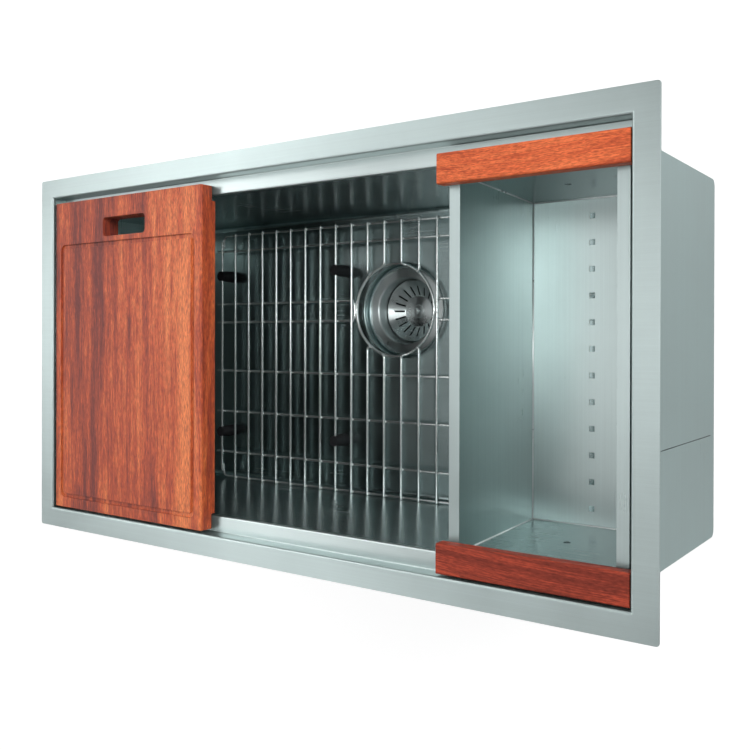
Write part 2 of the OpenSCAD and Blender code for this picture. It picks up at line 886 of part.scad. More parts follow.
// Cross wires under the long ones; the two at the drain are hairpins against the ring
module grid_cross_wires() {
    tip_x = grid_side_x + cross_tail;
    arm = hairpin_gap / 2;
    link = arm - hairpin_bend_r;
    arm_l = tip_x - hairpin_x - hairpin_bend_r;
    color(bright_steel) {
        for (y = cross_ys)
            wire_x(-tip_x, tip_x, y, cross_z);
        for (side = [-1, 1]) {
            arm_x = side > 0 ? tip_x - arm_l : -tip_x;
            bend_x = side * (hairpin_x + hairpin_bend_r);
            wire_y(side * hairpin_x, drain_y - link, drain_y + link, cross_z);
            wire_turn(bend_x, drain_y + link, cross_z, hairpin_bend_r, side > 0 ? 90 : 0);
            wire_turn(bend_x, drain_y - link, cross_z, hairpin_bend_r, side > 0 ? 180 : 270);
            for (y = [drain_y - arm, drain_y + arm])
                wire_x(arm_x, arm_x + arm_l, y, cross_z);
        }
    }
}

module grid_ring() {
    color(bright_steel)
        translate([0, drain_y, cross_z])
            rotate_extrude($fn = round_steps)
                translate([ring_r, 0])
                    circle(r = wire_r, $fn = wire_steps);
}

module grid_feet() {
    color(rubber)
        for (x = [-grid_side_x, -leg_x, leg_x, grid_side_x], y = foot_ys)
            translate([x, y, 0])
                difference() {
                    translate([0, 0, foot_base_z])
                        cylinder(r1 = foot_base_r, r2 = foot_top_r, h = foot_h, $fn = 32);
                    wire_leg();
                    wire_y(0, leg_span / 2, 2 * foot_base_r, long_z);
                    wire_y(0, -2 * foot_base_r, -leg_span / 2, long_z);
                }
}

// ---- Cutting board ----

// Section of a wooden piece with rounded long edges
module wood_section(w, h, r) {
    translate([0, h / 2])
        rounded_rect(w, h, r);
}

module cutting_board() {
    groove_x = board_w / 2 - groove_side;
    groove_y0 = -board_l / 2 + groove_front;
    groove_y1 = board_l / 2 - groove_rear;
    groove_l = groove_y1 - groove_y0;
    groove_inner_r = max(groove_r - groove_w, 0.5);
    color(sapele)
        translate([board_x, board_y, board_bottom_z])
            difference() {
                along_y(board_l)
                    wood_section(board_w, board_t, board_edge_r);
                // Rabbets under the two ends
                for (s = [-1, 1])
                    translate([-board_w, s * board_l / 2 - rabbet_l, -overcut])
                        cube([2 * board_w, 2 * rabbet_l, board_t - tongue_t + overcut]);
                // Finger slot
                translate([0, board_l / 2 - finger_margin - finger_d / 2, -overcut])
                    linear_extrude(height = board_t + 2 * overcut)
                        rounded_rect(finger_w, finger_d, finger_r);
                // Juice groove
                translate([0, (groove_y0 + groove_y1) / 2, board_t - groove_depth])
                    linear_extrude(height = groove_depth + overcut)
                        difference() {
                            rounded_rect(2 * groove_x, groove_l, groove_r);
                            rounded_rect(2 * (groove_x - groove_w), groove_l - 2 * groove_w, groove_inner_r);
                        }
            }
}

// ---- Colander ----

// Tapered block between the base and the top of the basin, grown by a margin
module taper_x(half_w, grow, z_grow, length) {
    along_y(length)
        polygon([
            [-half_w - grow, basin_top_z],
            [half_w + grow, basin_top_z],
            [half_w + grow - basin_draft, basin_floor_z - z_grow],
            [-half_w - grow + basin_draft, basin_floor_z - z_grow]
        ]);
}

module taper_y(half_l, grow, z_grow, length) {
    along_x(length)
        polygon([
            [-half_l - grow, basin_top_z],
            [half_l + grow, basin_top_z],
            [half_l + grow - basin_draft, basin_floor_z - z_grow],
            [-half_l - grow + basin_draft, basin_floor_z - z_grow]
        ]);
}

module colander_wrap() {
    flange_w = side_flange - basin_t / 2;
    color(steel)
        translate([colander_x, colander_y, 0])
            difference() {
                union() {
                    intersection() {
                        taper_x(basin_w / 2, basin_t, basin_t, basin_l + 4 * basin_t);
                        taper_y(basin_l / 2, 0, basin_t, basin_w + 4 * basin_t);
                    }
                    for (side = [-1, 1])
                        translate([
                            side * (basin_w / 2 + side_flange - flange_w / 2),
                            0,
                            basin_top_z - basin_t / 2
                        ])
                            cube([flange_w, basin_l, basin_t], center = true);
                }
                taper_x(basin_w / 2, 0, 0, basin_l + 4 * basin_t);
                for (i = [0 : hole_count - 1])
                    translate([0, (i - (hole_count - 1) / 2) * hole_pitch, basin_floor_z - basin_t / 2])
                        cube([hole_size, hole_size, 4 * basin_t], center = true);
            }
}

// Wood screw from under the flange, grown by a gap for its hole
module rail_screw(gap) {
    rotate_extrude($fn = 32)
        polygon([
            [0, 0],
            [screw_head_r + gap, 0],
            [screw_r + gap, screw_head_h],
            [screw_r + gap, screw_l],
            [0, screw_l]
        ]);
}

// End plate with the flange that lies between a rail and its ledge
module colander_rear_end() {
    half_l = basin_l / 2;
    flange_l = rails_l / 2 - half_l;
    flange_w = basin_w + 2 * side_flange;
    color(steel)
        translate([colander_x, colander_y, 0])
            difference() {
                union() {
                    intersection() {
                        taper_x(basin_w / 2, basin_t, basin_t, rails_l);
                        along_x(2 * basin_w)
                            polygon([
                                [half_l, basin_top_z],
                                [half_l + basin_t, basin_top_z],
                                [half_l + basin_t - basin_draft, basin_floor_z - basin_t],
                                [half_l - basin_draft, basin_floor_z - basin_t]
                            ]);
                    }
                    translate([-flange_w / 2, half_l, flange_bottom_z])
                        cube([flange_w, flange_l, basin_t]);
                }
                translate([0, half_l, end_hole_z])
                    rotate([90, 0, 0])
                        cylinder(r = end_hole_r, h = 4 * basin_draft, center = true, $fn = 32);
                for (s = [-1, 1])
                    translate([s * screw_x, screw_y, flange_bottom_z])
                        rail_screw(hole_gap);
            }
}

module colander_front_end() {
    translate([0, 2 * colander_y, 0])
        mirror([0, 1, 0])
            colander_rear_end();
}

module colander_rear_rail() {
    color(rail_wood)
        translate([colander_x, colander_y, 0])
            difference() {
                translate([0, rail_y, basin_top_z])
                    along_x(rail_l)
                        wood_section(rail_w, rail_t, rail_edge_r);
                for (s = [-1, 1])
                    translate([s * screw_x, screw_y, flange_bottom_z])
                        rail_screw(hole_gap);
            }
}

module colander_front_rail() {
    translate([0, 2 * colander_y, 0])
        mirror([0, 1, 0])
            colander_rear_rail();
}

module colander_screws() {
    color(bright_steel)
        for (sx = [-1, 1], sy = [-1, 1])
            translate([colander_x + sx * screw_x, colander_y + sy * screw_y, flange_bottom_z])
                rail_screw(0);
}

rim_flange();
front_step();
rear_step();
front_ledge();
rear_ledge();
front_wall();
rear_wall();
left_wall();
right_wall();
bowl_floor();
drain_recess();
strainer_body();
strainer_gasket();
friction_washer();
strainer_locknut();
tailpiece_washer();
tailpiece();
coupling_nut();
basket_plate();
basket_post();
basket_knob();
basket_stopper();
basket_nut();
grid_end_rods();
grid_side_wires();
grid_wires();
grid_leg_wires();
grid_cross_wires();
grid_ring();
grid_feet();
cutting_board();
colander_wrap();
colander_front_end();
colander_rear_end();
colander_front_rail();
colander_rear_rail();
colander_screws();
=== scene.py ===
"""Looks of the workstation kitchen sink: camera, studio, finishes and the finely shaped loose pieces."""
import json
import math

import bmesh
import bpy
from mathutils import Matrix, Vector


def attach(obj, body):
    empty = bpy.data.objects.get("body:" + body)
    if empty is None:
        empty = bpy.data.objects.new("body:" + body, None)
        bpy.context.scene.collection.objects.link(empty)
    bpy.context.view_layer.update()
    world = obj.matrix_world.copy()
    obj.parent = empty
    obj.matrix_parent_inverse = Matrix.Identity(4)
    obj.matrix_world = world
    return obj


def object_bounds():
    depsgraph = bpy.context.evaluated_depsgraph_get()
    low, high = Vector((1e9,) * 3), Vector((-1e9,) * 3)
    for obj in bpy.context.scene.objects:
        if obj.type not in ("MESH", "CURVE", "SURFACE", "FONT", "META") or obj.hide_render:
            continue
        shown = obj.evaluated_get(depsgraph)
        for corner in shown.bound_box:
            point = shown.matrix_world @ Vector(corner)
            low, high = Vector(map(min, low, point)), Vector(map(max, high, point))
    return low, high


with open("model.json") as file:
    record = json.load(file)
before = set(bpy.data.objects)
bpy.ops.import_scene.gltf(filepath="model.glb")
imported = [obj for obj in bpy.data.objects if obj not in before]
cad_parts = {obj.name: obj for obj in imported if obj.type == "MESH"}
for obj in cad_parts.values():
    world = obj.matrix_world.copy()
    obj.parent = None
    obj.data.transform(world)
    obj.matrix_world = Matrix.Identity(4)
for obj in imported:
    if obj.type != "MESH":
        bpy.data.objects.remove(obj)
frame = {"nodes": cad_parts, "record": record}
cad_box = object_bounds()
nodes = frame["nodes"]
MM = 0.001

# ---------------------------------------------------------------- camera

PHOTO_SIDE = 750
SENSOR = 36.0
FOCAL_PX = 888.5
AXIS_Y_PX = 341.9
CAMERA_MM = (646.4, 19.45, 724.86)
YAW, PITCH, ROLL = (math.radians(a) for a in (35.22, -0.18, 0.13))


def make_camera():
    forward = Vector((-math.sin(YAW), 0.0, -math.cos(YAW)))
    up = Vector((0.0, 1.0, 0.0))
    right = forward.cross(up).normalized()
    forward = (forward * math.cos(PITCH) + up * math.sin(PITCH)).normalized()
    up = right.cross(forward).normalized()
    rolled_right = right * math.cos(ROLL) + up * math.sin(ROLL)
    rolled_up = up * math.cos(ROLL) - right * math.sin(ROLL)
    data = bpy.data.cameras.new("sink_camera")
    data.sensor_width = SENSOR
    data.lens = FOCAL_PX / PHOTO_SIDE * SENSOR
    data.shift_y = (AXIS_Y_PX - PHOTO_SIDE / 2) / PHOTO_SIDE
    data.clip_start = 0.05
    data.clip_end = 20.0
    camera = bpy.data.objects.new("sink_camera", data)
    bpy.context.scene.collection.objects.link(camera)
    columns = (rolled_right, rolled_up, -forward)
    matrix = camera.matrix_world.copy()
    for c, axis in enumerate(columns):
        for r in range(3):
            matrix[r][c] = axis[r]
    for r in range(3):
        matrix[r][3] = CAMERA_MM[r] * MM
    camera.matrix_world = matrix
    bpy.context.scene.camera = camera


# ---------------------------------------------------------------- node helpers


def new_group(name, inputs, outputs):
    """Node group with named sockets; an input is (name, kind, default)."""
    tree = bpy.data.node_groups.new(name, "ShaderNodeTree")
    for label, kind, default in inputs:
        socket = tree.interface.new_socket(label, in_out="INPUT", socket_type="NodeSocket" + kind)
        if default is not None:
            socket.default_value = default
    for label, kind in outputs:
        tree.interface.new_socket(label, in_out="OUTPUT", socket_type="NodeSocket" + kind)
    start = tree.nodes.new("NodeGroupInput")
    end = tree.nodes.new("NodeGroupOutput")
    return tree, start.outputs, end.inputs


def add(tree, kind, **settings):
    node = tree.nodes.new("ShaderNode" + kind)
    for key, value in settings.items():
        setattr(node, key, value)
    return node


def wire(tree, source, target):
    tree.links.new(source, target)


def feed(tree, socket, value):
    """Links a socket or sets a constant."""
    if isinstance(value, bpy.types.NodeSocket):
        tree.links.new(value, socket)
    else:
        socket.default_value = value


def math_node(tree, operation, a, b=0.0, clamp=False):
    node = add(tree, "Math", operation=operation, use_clamp=clamp)
    feed(tree, node.inputs[0], a)
    feed(tree, node.inputs[1], b)
    return node.outputs[0]


def scaled(tree, vector, factor):
    node = add(tree, "VectorMath", operation="MULTIPLY")
    feed(tree, node.inputs[0], vector)
    feed(tree, node.inputs[1], factor)
    return node.outputs[0]


def noise(tree, vector, scale, detail=4.0, rough=0.55, warp=0.0):
    node = add(tree, "TexNoise")
    feed(tree, node.inputs["Vector"], vector)
    feed(tree, node.inputs["Scale"], scale)
    node.inputs["Detail"].default_value = detail
    node.inputs["Roughness"].default_value = rough
    node.inputs["Distortion"].default_value = warp
    return node.outputs["Fac"]


def spread(tree, value, low, high, to_low=0.0, to_high=1.0):
    node = add(tree, "MapRange")
    feed(tree, node.inputs["Value"], value)
    for label, number in (("From Min", low), ("From Max", high), ("To Min", to_low), ("To Max", to_high)):
        feed(tree, node.inputs[label], number)
    return node.outputs["Result"]


def grey_of(tree, value):
    """Grey colour with one value in all channels."""
    node = add(tree, "CombineColor")
    for channel in ("Red", "Green", "Blue"):
        wire(tree, value, node.inputs[channel])
    return node.outputs["Color"]


def weighted(tree, layers):
    """Sum of values, each times its weight."""
    total = None
    for value, weight in layers:
        part = math_node(tree, "MULTIPLY", value, weight)
        total = part if total is None else math_node(tree, "ADD", total, part)
    return total


def rounded_normal(tree, radius):
    """Normal with its edges rounded by a small radius."""
    node = add(tree, "Bevel", samples=4)
    feed(tree, node.inputs["Radius"], radius)
    return node.outputs["Normal"]


def object_place(tree):
    return add(tree, "TexCoord").outputs["Object"]


def blend(tree, factor, a, b, mode="MIX"):
    node = add(tree, "Mix", data_type="RGBA", blend_type=mode)
    feed(tree, node.inputs["Factor"], factor)
    feed(tree, node.inputs["A"], a)
    feed(tree, node.inputs["B"], b)
    return node.outputs["Result"]


def bump(tree, height, strength, distance, normal=None):
    node = add(tree, "Bump")
    feed(tree, node.inputs["Strength"], strength)
    feed(tree, node.inputs["Distance"], distance)
    feed(tree, node.inputs["Height"], height)
    if normal is not None:
        feed(tree, node.inputs["Normal"], normal)
    return node.outputs["Normal"]


# ---------------------------------------------------------------- shared effects

DRAIN_Y = 57.5  # mm
THROAT_TOP = -286.0  # mm, height of the basket's rim
LINE_DEPTH = 0.00004
PORE_DEPTH = 0.00012
MOTTLE_DEPTH = 0.00008
SOFT_EDGE = 0.0005


def make_brushing():
    """Brushed lines, cloudy handling marks and polished edges of sheet metal; the edges are also painted
    lighter, a painted highlight.
    """
    tree, given, out = new_group(
        "brushed_sheet",
        [
            ("Stretch", "Vector", (6.0, 900.0, 900.0)),
            ("Base", "Color", (0.6, 0.6, 0.6, 1.0)),
            ("Contrast", "Float", 0.2),
            ("Roughness", "Float", 0.3),
            ("Depth", "Float", 0.2),
            ("Edge Size", "Float", 0.0006),
        ],
        [("Color", "Color"), ("Roughness", "Float"), ("Normal", "Vector")],
    )
    place = object_place(tree)
    lines = noise(tree, scaled(tree, place, given["Stretch"]), 1.0, 3.0, 0.6)
    long_stretch = scaled(tree, given["Stretch"], (0.35, 0.3, 0.3))
    bands = noise(tree, scaled(tree, place, long_stretch), 1.0, 2.0, 0.5)
    clouds = noise(tree, place, 9.0, 5.0, 0.6)
    rounding = rounded_normal(tree, given["Edge Size"])
    plain = add(tree, "NewGeometry").outputs["Normal"]
    dot = add(tree, "VectorMath", operation="DOT_PRODUCT")
    wire(tree, rounding, dot.inputs[0])
    wire(tree, plain, dot.inputs[1])
    edge = spread(tree, dot.outputs["Value"], 0.995, 0.9)
    mixed = weighted(tree, ((lines, 0.6), (bands, 0.4)))
    centred = math_node(tree, "MULTIPLY", math_node(tree, "SUBTRACT", mixed, 0.5), given["Contrast"])
    tone = math_node(tree, "ADD", 1.0, centred)
    tone = math_node(tree, "MULTIPLY", tone, spread(tree, clouds, 0.3, 0.7, 0.95, 1.04))
    # painted highlight: the colour is lightened along the rounded edges
    tone_with_painted_edge_highlight = math_node(tree, "ADD", tone, math_node(tree, "MULTIPLY", edge, 0.25))
    wire(tree, blend(tree, 1.0, given["Base"], grey_of(tree, tone_with_painted_edge_highlight), "MULTIPLY"), out["Color"])
    rough = math_node(tree, "MULTIPLY", given["Roughness"], spread(tree, clouds, 0.3, 0.7, 0.88, 1.14))
    rough = math_node(tree, "ADD", rough, math_node(tree, "MULTIPLY", centred, 0.5))
    rough = math_node(tree, "SUBTRACT", rough, math_node(tree, "MULTIPLY", edge, 0.06), clamp=True)
    wire(tree, rough, out["Roughness"])
    wire(tree, bump(tree, lines, given["Depth"], LINE_DEPTH, rounding), out["Normal"])
    return tree


def make_grain():
    """Ribboned red-brown hardwood: growth bands, interlocked ribbon, short dark pores."""
    tree, given, out = new_group(
        "sapele_grain",
        [
            ("Along", "Vector", (1.0, 0.06, 1.0)),
            ("Light", "Color", (0.6, 0.25, 0.12, 1.0)),
            ("Middle", "Color", (0.45, 0.16, 0.07, 1.0)),
            ("Dark", "Color", (0.25, 0.07, 0.04, 1.0)),
            ("Offset", "Vector", (0.0, 0.0, 0.0)),
            ("Pore Stretch", "Vector", (1.0, 4.0, 1.0)),
            ("Edge Size", "Float", 0.0012),
        ],
        [("Color", "Color"), ("Roughness", "Float"), ("Normal", "Vector"), ("Pores", "Float")],
    )
    shifted = add(tree, "VectorMath", operation="ADD")
    wire(tree, object_place(tree), shifted.inputs[0])
    wire(tree, given["Offset"], shifted.inputs[1])
    drift = add(tree, "TexNoise")
    wire(tree, shifted.outputs[0], drift.inputs["Vector"])
    drift.inputs["Scale"].default_value = 3.2
    drift.inputs["Detail"].default_value = 1.0
    bent = add(tree, "VectorMath", operation="ADD")
    wire(tree, shifted.outputs[0], bent.inputs[0])
    wire(tree, scaled(tree, drift.outputs["Color"], (0.035, 0.035, 0.035)), bent.inputs[1])
    grain = scaled(tree, bent.outputs[0], given["Along"])
    wander = noise(tree, grain, 9.0, 2.0, 0.5)
    ribbon = noise(tree, grain, 48.0, 2.0, 0.45, 0.1)
    bands = noise(tree, grain, 130.0, 5.0, 0.6, 0.15)
    streaks = noise(tree, scaled(tree, grain, (1.0, 2.2, 1.0)), 420.0, 4.0, 0.65)
    fibre = noise(tree, scaled(tree, grain, given["Pore Stretch"]), 900.0, 2.0, 0.6)
    pore_noise = noise(tree, scaled(tree, grain, given["Pore Stretch"]), 1000.0, 1.0, 0.5)
    pores = spread(tree, pore_noise, 0.56, 0.68)
    layers = ((wander, 0.32), (ribbon, 0.24), (bands, 0.22), (streaks, 0.22))
    tone = spread(tree, weighted(tree, layers), 0.42, 0.59)
    low = blend(tree, spread(tree, tone, 0.0, 0.5), given["Dark"], given["Middle"])
    colour = blend(tree, spread(tree, tone, 0.45, 1.0), low, given["Light"])
    fine = spread(tree, fibre, 0.32, 0.68, 0.7, 1.3)
    colour = blend(tree, 1.0, colour, grey_of(tree, fine), "MULTIPLY")
    colour = blend(tree, math_node(tree, "MULTIPLY", pores, 0.55), colour, given["Dark"])
    wire(tree, colour, out["Color"])
    wire(tree, pores, out["Pores"])
    wire(tree, spread(tree, tone, 0.0, 1.0, 0.52, 0.42), out["Roughness"])
    height = math_node(tree, "SUBTRACT", math_node(tree, "MULTIPLY", fibre, 0.4), pores)
    wire(tree, bump(tree, height, 0.35, PORE_DEPTH, rounded_normal(tree, given["Edge Size"])), out["Normal"])
    return tree


def make_speckle():
    """Fine mottling for rubber, fibre and plastic."""
    tree, given, out = new_group(
        "fine_mottle",
        [
            ("Base", "Color", (0.1, 0.1, 0.1, 1.0)),
            ("Spread", "Float", 0.2),
            ("Grain", "Float", 900.0),
            ("Roughness", "Float", 0.6),
        ],
        [("Color", "Color"), ("Roughness", "Float"), ("Normal", "Vector")],
    )
    place = object_place(tree)
    fine = noise(tree, place, given["Grain"], 3.0, 0.6)
    broad = noise(tree, place, 30.0, 3.0, 0.5)
    both = weighted(tree, ((fine, 0.5), (broad, 0.5)))
    centred = math_node(tree, "MULTIPLY", math_node(tree, "SUBTRACT", both, 0.5), given["Spread"])
    tone = grey_of(tree, math_node(tree, "ADD", 1.0, centred))
    wire(tree, blend(tree, 1.0, given["Base"], tone, "MULTIPLY"), out["Color"])
    rough = math_node(tree, "MULTIPLY", given["Roughness"], spread(tree, fine, 0.3, 0.7, 0.9, 1.1))
    wire(tree, rough, out["Roughness"])
    wire(tree, bump(tree, fine, 0.25, MOTTLE_DEPTH, rounded_normal(tree, SOFT_EDGE)), out["Normal"])
    return tree


def make_throat_shade_mask():
    """Mask of the inward-facing metal below the rim of the basket, where shade is painted."""
    tree, given, out = new_group(
        "drain_throat_shade",
        [
            ("Axis", "Vector", (0.0, DRAIN_Y * MM, 0.0)),
            ("Top", "Float", THROAT_TOP * MM),
            ("Reach", "Float", 0.006),
        ],
        [("Mask", "Float")],
    )
    from_axis = add(tree, "VectorMath", operation="SUBTRACT")
    wire(tree, object_place(tree), from_axis.inputs[0])
    wire(tree, given["Axis"], from_axis.inputs[1])
    flat = scaled(tree, from_axis.outputs[0], (1.0, 1.0, 0.0))
    outward = add(tree, "VectorMath", operation="DOT_PRODUCT")
    wire(tree, flat, outward.inputs[0])
    wire(tree, add(tree, "NewGeometry").outputs["Normal"], outward.inputs[1])
    inner = spread(tree, outward.outputs["Value"], 0.0, -0.005)
    split = add(tree, "SeparateXYZ")
    wire(tree, from_axis.outputs[0], split.inputs[0])
    below = math_node(tree, "SUBTRACT", given["Top"], split.outputs["Z"])
    depth = math_node(tree, "DIVIDE", below, given["Reach"], clamp=True)
    wire(tree, math_node(tree, "MULTIPLY", inner, depth), out["Mask"])
    return tree


# ---------------------------------------------------------------- materials


def finish_material(name, group, values, metallic, specular=0.5, mirrored=None):
    material = bpy.data.materials.new(name)
    material.use_nodes = True
    tree = material.node_tree
    shader = principled(material)
    effect = add(tree, "Group")
    effect.node_tree = group
    for label, value in values.items():
        effect.inputs[label].default_value = value
    colour = effect.outputs["Color"]
    # painted reflection: rays mirrored off other surfaces see the mirrored colour in place of the material's
    # own
    if mirrored is not None:
        colour = blend(tree, add(tree, "LightPath").outputs["Is Glossy Ray"], colour, mirrored)
    wire(tree, colour, shader.inputs["Base Color"])
    wire(tree, effect.outputs["Roughness"], shader.inputs["Roughness"])
    wire(tree, effect.outputs["Normal"], shader.inputs["Normal"])
    shader.inputs["Metallic"].default_value = metallic
    shader.inputs["Specular IOR Level"].default_value = specular
    return material


def principled(material):
    return next(n for n in material.node_tree.nodes if n.type == "BSDF_PRINCIPLED")


def turn_finish(material):
    """Lathe-turned sheen round the axis of the drain."""
    shader = principled(material)
    shader.inputs["Anisotropic"].default_value = 0.85
    shader.inputs["Anisotropic Rotation"].default_value = 0.25
    tangent = add(material.node_tree, "Tangent", direction_type="RADIAL", axis="Z")
    wire(material.node_tree, tangent.outputs[0], shader.inputs["Tangent"])


def paint_throat_shade(material):
    """Painted shade: the inside of the cup below the rim of the basket is coloured near black."""
    tree = material.node_tree
    base = principled(material).inputs["Base Color"]
    throat = add(tree, "Group")
    throat.node_tree = make_throat_shade_mask()
    wire(tree, blend(tree, throat.outputs["Mask"], base.links[0].from_socket, THROAT_SHADE_COLOR), base)


def rgb(*levels):
    """sRGB bytes to a linear colour."""

    def linear(level):
        part = level / 255
        return part / 12.92 if level <= 10 else ((part + 0.055) / 1.055) ** 2.4

    return tuple(linear(level) for level in levels) + (1.0,)


ALONG_X = (5.0, 1300.0, 1300.0)
ALONG_Y = (1300.0, 5.0, 1300.0)
ALL_ROUND = (700.0, 700.0, 700.0)
# painted reflection: the wood's colour as seen mirrored in the steel, a fixed dark grey-brown
WOOD_PAINTED_REFLECTION = (0.06, 0.055, 0.05, 1.0)
# painted shade: near-black colour for the inside of the drain's cup
THROAT_SHADE_COLOR = (0.015, 0.017, 0.017, 1.0)
BOARD_TONES = ((222, 124, 70), (184, 80, 46), (112, 50, 44))
REAR_RAIL_TONES = ((222, 118, 72), (198, 92, 54), (146, 60, 40))
FRONT_RAIL_TONES = ((214, 98, 64), (178, 72, 50), (116, 46, 34))


def make_materials():
    brushing, grain, mottle = make_brushing(), make_grain(), make_speckle()
    made = {}

    def steel(name, base, stretch, roughness, contrast=0.22, depth=0.25, edge=0.0006, metallic=1.0):
        values = {
            "Stretch": stretch,
            "Base": base,
            "Contrast": contrast,
            "Roughness": roughness,
            "Depth": depth,
            "Edge Size": edge,
        }
        made[name] = finish_material(name, brushing, values, metallic)

    steel("sheet_steel", rgb(197, 211, 210), ALONG_X, 0.36)
    # painted light: a lighter copy of the sheet steel, so the ledges come out brighter
    steel("ledge_steel_lit", rgb(208, 220, 219), ALONG_X, 0.34)
    # painted shade: darker copies of the sheet steel for the inside of the bowl
    steel("bowl_steel_x_shaded", rgb(182, 200, 200), ALONG_X, 0.24)
    steel("bowl_steel_y_shaded", rgb(190, 207, 206), ALONG_Y, 0.32)
    steel("strainer_steel", rgb(206, 214, 214), ALL_ROUND, 0.3, 0.08, 0.06, 0.0004)
    steel("basket_steel", rgb(206, 214, 214), ALL_ROUND, 0.28, 0.08, 0.06, 0.0004)
    turn_finish(made["basket_steel"])
    turn_finish(made["strainer_steel"])
    paint_throat_shade(made["strainer_steel"])
    steel("wire_steel", rgb(240, 245, 244), ALL_ROUND, 0.18, 0.06, 0.05, 0.0002, 0.88)
    steel("colander_steel_y", rgb(195, 209, 208), ALONG_Y, 0.31, edge=0.0004)
    steel("colander_steel_x", rgb(180, 193, 193), ALONG_X, 0.26, edge=0.0004)
    # whitish, partly non-metal steel: real weld spots on the grid, and a painted highlight on the colander's
    # fold beads
    steel("weld_steel", rgb(240, 244, 244), ALL_ROUND, 0.3, 0.1, 0.1, 0.0002, 0.6)
    steel("fastener_steel", rgb(205, 207, 210), ALL_ROUND, 0.3, 0.1, 0.1, 0.0003)
    steel("nut_metal", rgb(205, 178, 112), ALL_ROUND, 0.38, 0.2, 0.3, 0.0006)

    def wood(name, along, pores, tones, offset, specular):
        light, middle, dark = (rgb(*tone) for tone in tones)
        values = {
            "Along": along,
            "Light": light,
            "Middle": middle,
            "Dark": dark,
            "Offset": offset,
            "Pore Stretch": pores,
        }
        made[name] = finish_material(name, grain, values, 0.0, specular=specular, mirrored=WOOD_PAINTED_REFLECTION)

    board_along, rail_along = (1.0, 0.035, 1.0), (0.045, 1.0, 1.0)
    board_pores, rail_pores = (1.0, 4.0, 1.0), (4.0, 1.0, 1.0)
    wood("board_wood", board_along, board_pores, BOARD_TONES, (0.31, 0.31, 0.0), 0.5)
    wood("rear_rail_wood", rail_along, rail_pores, REAR_RAIL_TONES, (0.31, 0.17, 0.05), 0.2)
    wood("front_rail_wood", rail_along, rail_pores, FRONT_RAIL_TONES, (0.11, 0.47, 0.25), 0.2)
    rubber = {"Base": (0.018, 0.018, 0.02, 1.0), "Spread": 0.5, "Roughness": 0.55}
    made["black_rubber"] = finish_material("black_rubber", mottle, rubber, 0.0, specular=0.35)
    fibre = {"Base": rgb(190, 160, 122), "Spread": 0.4, "Roughness": 0.8}
    made["fibre"] = finish_material("fibre", mottle, fibre, 0.0, specular=0.3)
    white = {"Base": rgb(232, 232, 228), "Spread": 0.1, "Roughness": 0.5}
    made["white_washer"] = finish_material("white_washer", mottle, white, 0.0)
    return made


NODE_FINISH = {
    "rim_flange": "sheet_steel",
    "front_step": "sheet_steel",
    "rear_step": "sheet_steel",
    "front_ledge": "ledge_steel_lit",
    "rear_ledge": "ledge_steel_lit",
    "front_wall": "bowl_steel_x_shaded",
    "rear_wall": "bowl_steel_x_shaded",
    "left_wall": "bowl_steel_y_shaded",
    "right_wall": "bowl_steel_y_shaded",
    "bowl_floor": "bowl_steel_x_shaded",
    "drain_recess": "bowl_steel_x_shaded",
    "basket_plate": "basket_steel",
    "basket_knob": "basket_steel",
    "colander_wrap": "colander_steel_y",
    "colander_front_end": "colander_steel_x",
    "colander_rear_end": "colander_steel_x",
    "colander_front_rail": "front_rail_wood",
    "colander_rear_rail": "rear_rail_wood",
}


def dress_nodes(made):
    slots = {row["node"]: row["material_slot"] for row in frame["record"]["subparts"]}
    for name, node in nodes.items():
        material = made[NODE_FINISH.get(name, slots[name])]
        for slot in node.material_slots:
            slot.material = material


# ---------------------------------------------------------------- small pieces, in mm

LONG_WIRE_Z = -230.75
CROSS_WIRE_Z = -234.25
WIRE_R = 1.75
GRID_SIDE_X = 308.2
WIRE_COUNT = 24
CROSS_WIRE_YS = (149.5, -28.0, -88.5, -149.0)
END_ROD_YS = (172.5, -185.5)
RING_R = 60.5
HAIRPIN_ARM = 13.5

BASE_X = (232.0, 365.0)
BASE_Y = (-174.5, 166.5)
BASE_Z = -158.5
MOUTH_X = (221.0, 376.0)
MOUTH_Y = (-185.5, 177.5)
MOUTH_Z = -19.7
BEAD_R = 1.1
BEAD_CORNER_R = 1.3

SEAM_Y = -81.0
SEAM_X = 395.7
SEAM_Z = (-242.0, -14.0)
# size of the dark strip painted as shade in the seam
SEAM_SHADE_LINE = (0.1, 0.7)


def loose_piece(name, shape, material, body):
    """Object from a bmesh built in mm; it moves with the body."""
    mesh = bpy.data.meshes.new(name)
    bmesh.ops.scale(shape, vec=(MM, MM, MM), verts=shape.verts)
    shape.to_mesh(mesh)
    shape.free()
    mesh.materials.append(material)
    for face in mesh.polygons:
        face.use_smooth = True
    piece = bpy.data.objects.new(name, mesh)
    bpy.context.scene.collection.objects.link(piece)
    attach(piece, body)
    return piece


def add_blob(shape, place, radii):
    matrix = Matrix.Translation(place) @ Matrix.Diagonal((*radii, 1.0))
    bmesh.ops.create_icosphere(shape, subdivisions=2, radius=1.0, matrix=matrix)


def add_rod(shape, start, end, radius, sides=8):
    start, end = Vector(start), Vector(end)
    axis = end - start
    matrix = Matrix.Translation((start + end) / 2) @ axis.to_track_quat("Z", "Y").to_matrix().to_4x4()
    bmesh.ops.create_cone(
        shape, cap_ends=True, segments=sides, radius1=radius, radius2=radius, depth=axis.length, matrix=matrix
    )


